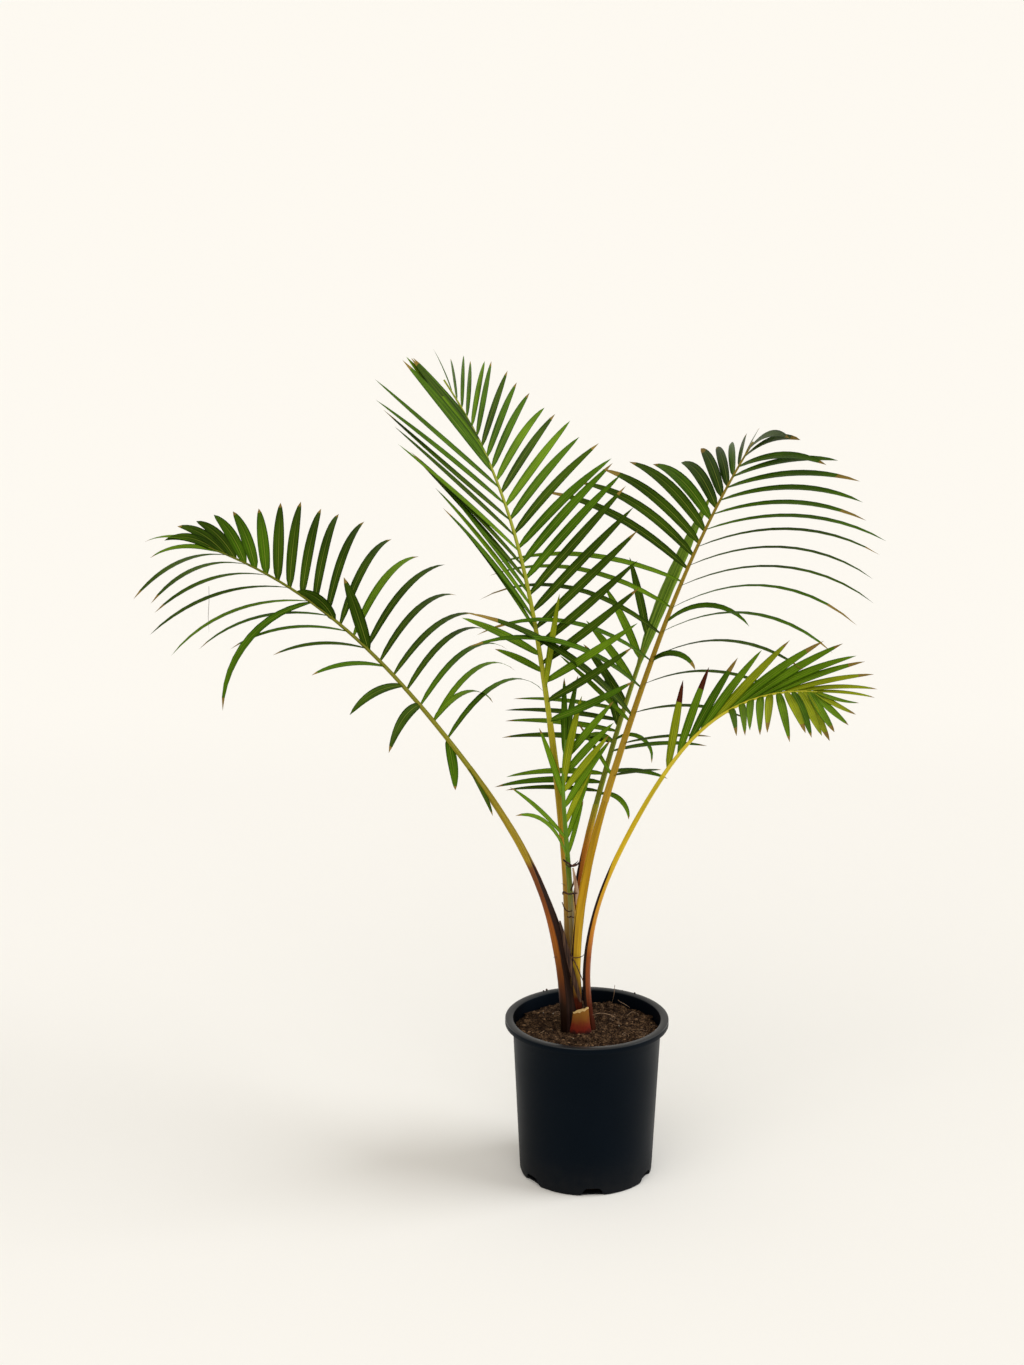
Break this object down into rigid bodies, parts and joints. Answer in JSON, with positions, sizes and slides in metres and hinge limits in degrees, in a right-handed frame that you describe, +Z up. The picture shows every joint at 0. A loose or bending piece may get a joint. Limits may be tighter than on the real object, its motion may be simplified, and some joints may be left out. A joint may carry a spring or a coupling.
{
  "type": "potted kosi palm",
  "caption": "Young feather palm with arching pinnate fronds on clasping petioles, standing in a round plastic nursery pot of soil.",
  "frame": {"origin": "centre of the pot's flat underside, at ground level on the pot's axis", "axes": "+Z up along the pot's axis, -Y towards the picture's viewer, +X to the viewer's right"},
  "size_m": [1.114, 0.735, 1.2439],
  "materials": {
    "pot": "satin moulded plastic",
    "soil": "rough granular",
    "sheath": "smooth waxy",
    "stub": "torn fibrous",
    "frond": "smooth leaf",
    "young_frond": "smooth leaf"
  },
  "bodies": {
    "root": {"pot": "pot", "soil": "soil", "petiole_a": "sheath", "petiole_b": "sheath", "petiole_c": "sheath", "petiole_d": "sheath", "petiole_e": "sheath", "petiole_f": "sheath", "stub": "stub", "frond_a": "frond", "frond_b": "frond", "frond_c": "frond", "frond_d": "frond", "frond_e": "young_frond", "frond_f": "young_frond"}
  },
  "joints": []
}
